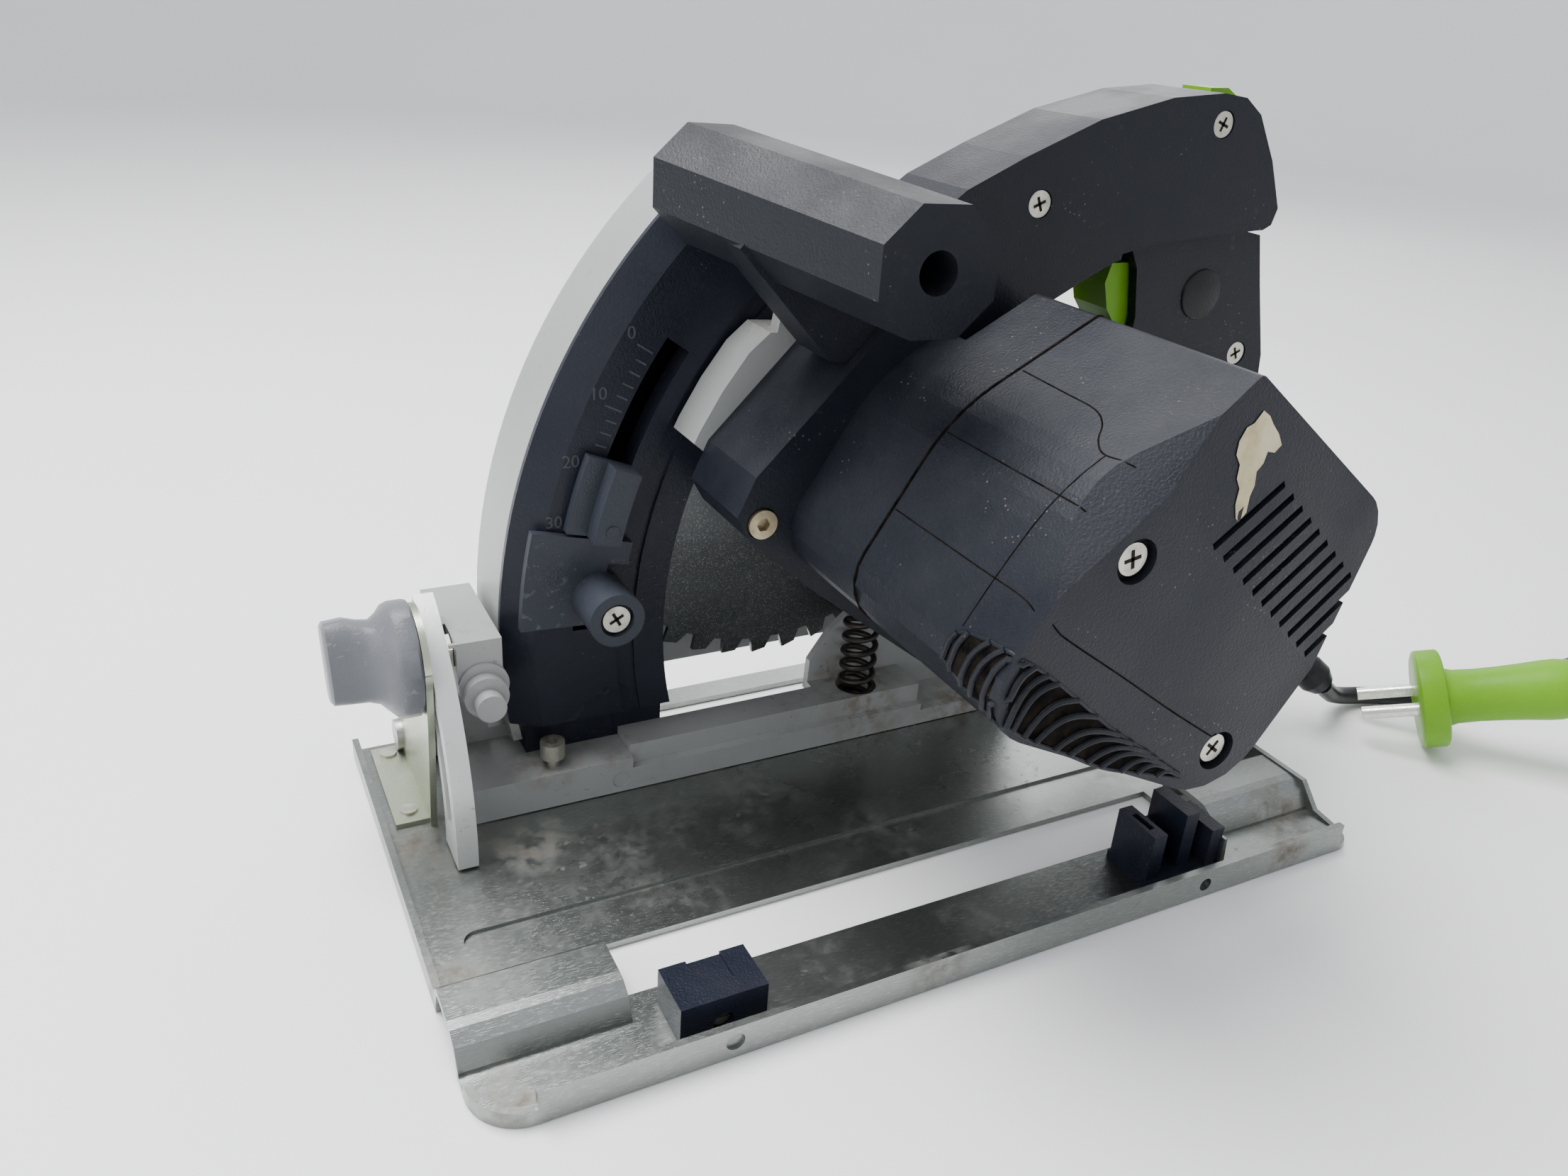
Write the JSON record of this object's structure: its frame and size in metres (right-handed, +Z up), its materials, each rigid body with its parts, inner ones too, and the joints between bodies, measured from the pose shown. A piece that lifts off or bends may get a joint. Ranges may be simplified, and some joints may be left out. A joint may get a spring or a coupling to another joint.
{
  "type": "plunge cut circular saw",
  "caption": "Corded plunge-cut circular saw: bevelling base plate with rail groove, quarter guard, sprung motor head, depth stop, D handle, lead and plug.",
  "frame": {"origin": "middle of the base plate's underside, on the surface that the saw stands on", "axes": "+X from the front of the saw to its rear, +Y towards the blade side, +Z up"},
  "size_m": [0.6009, 0.2253, 0.2224],
  "materials": {
    "zinc_sheet": "zinc plated, worn, dusty",
    "bracket": "yellow passivated zinc",
    "alloy": "painted silver casting",
    "alloy_bare": "bare cast alloy",
    "housing": "fine-textured dark blue-grey",
    "guard_plastic": "fine-textured dark blue-grey",
    "grip": "fine-textured",
    "black_plastic": "matte",
    "jaw_plastic": "matte",
    "knob": "worn satin",
    "slider": "worn satin",
    "screw": "zinc plated screw",
    "brass_screw": "yellow passivated screw",
    "steel": "machined",
    "blade": "ground, scratched",
    "spring": "black spring steel",
    "copper": "copper segments",
    "green": "satin green",
    "lead": "smooth sheath",
    "pins": "nickel plated"
  },
  "bodies": {
    "base": {"base_plate": "zinc_sheet", "front_bracket": "bracket", "rear_bracket": "bracket", "hinge_pin_front": "steel", "hinge_pin_rear": "steel", "clamp_nut": "screw", "front_jaw": "jaw_plastic", "rear_jaw": "jaw_plastic", "jaw_spring": "zinc_sheet", "front_jaw_screw": "screw", "bracket_rivets": "screw", "lead_tube": "lead", "lead_coil": "lead", "lead_tail": "lead", "plug_body": "green", "plug_pins": "pins"},
    "knob": {"bevel_knob": "knob", "bevel_bolt": "steel"},
    "swivel": {"swivel_frame": "alloy", "front_quadrant": "alloy_bare", "front_casting": "alloy", "guard_half": "guard_plastic", "guard_cover": "alloy", "fence_screw": "screw", "plunge_pin": "steel", "return_spring": "spring"},
    "slider": {"depth_slider": "slider", "depth_post": "slider", "post_screw": "screw"},
    "lever": {"release_lever": "slider"},
    "head": {"gear_arm": "alloy", "gear_cover": "housing", "motor_housing": "housing", "end_cap": "housing", "handle_near": "housing", "handle_far": "housing", "front_grip": "grip", "grip_cap": "grip", "cover_screw": "brass_screw", "cap_screws": "screw", "handle_screws": "screw", "lead_boot": "lead", "stator": "steel", "switch_block": "black_plastic"},
    "spindle": {"arbor": "steel", "gear_wheel": "steel", "inner_flange": "steel", "outer_flange": "steel", "arbor_bolt": "spring", "saw_blade": "blade"},
    "armature": {"motor_shaft": "steel", "rotor_core": "steel", "commutator": "copper", "fan": "black_plastic", "pinion": "steel"},
    "trigger": {"trigger": "green"},
    "lock_button": {"lock_button": "green"}
  },
  "joints": [
    {"name": "bevel", "type": "hinge", "parent": "base", "child": "swivel", "pos_m": [0, 0.082, 0.009], "axis": [-1, 0, 0], "range_deg": [0, 45]},
    {"name": "bevel_knob_turn", "type": "hinge", "parent": "base", "child": "knob", "pos_m": [-0.14, 0.045, 0.058], "axis": [1, 0, 0], "range_deg": [0, 180]},
    {"name": "plunge", "type": "hinge", "parent": "swivel", "child": "head", "pos_m": [0.084, 0.04, 0.055], "axis": [0, -1, 0], "range_deg": [0, 40.5], "stiffness_Nm_per_rad": 12, "springref_deg": -28.65, "deforming": ["return_spring"]},
    {"name": "depth_slide", "type": "hinge", "parent": "swivel", "child": "slider", "pos_m": [0.084, 0.04, 0.055], "axis": [0, 1, 0], "range_deg": [-2, 11]},
    {"name": "depth_release", "type": "hinge", "parent": "slider", "child": "lever", "pos_m": [-0.07284, 0.034, 0.09556], "axis": [0, 1, 0], "range_deg": [0, 3], "stiffness_Nm_per_rad": 0.4, "springref_deg": -17.19},
    {"name": "blade_spin", "type": "hinge", "parent": "head", "child": "spindle", "pos_m": [-0.004, 0.062, 0.108], "axis": [0, 1, 0], "continuous": true},
    {"name": "armature_spin", "type": "hinge", "parent": "head", "child": "armature", "pos_m": [0.024, -0.05, 0.118], "axis": [0, 1, 0], "continuous": true},
    {"name": "trigger_pull", "type": "slide", "parent": "head", "child": "trigger", "axis": [1, 0, 0], "range_m": [0, 0.005], "stiffness_N_per_m": 800, "springref_m": -0.004},
    {"name": "lock_press", "type": "slide", "parent": "head", "child": "lock_button", "axis": [0, 0, -1], "range_m": [0, 0.003], "stiffness_N_per_m": 800, "springref_m": -0.002}
  ],
  "couplings": [
    {"joint": "armature_spin", "follows": "blade_spin", "ratio": -3.4179}
  ]
}
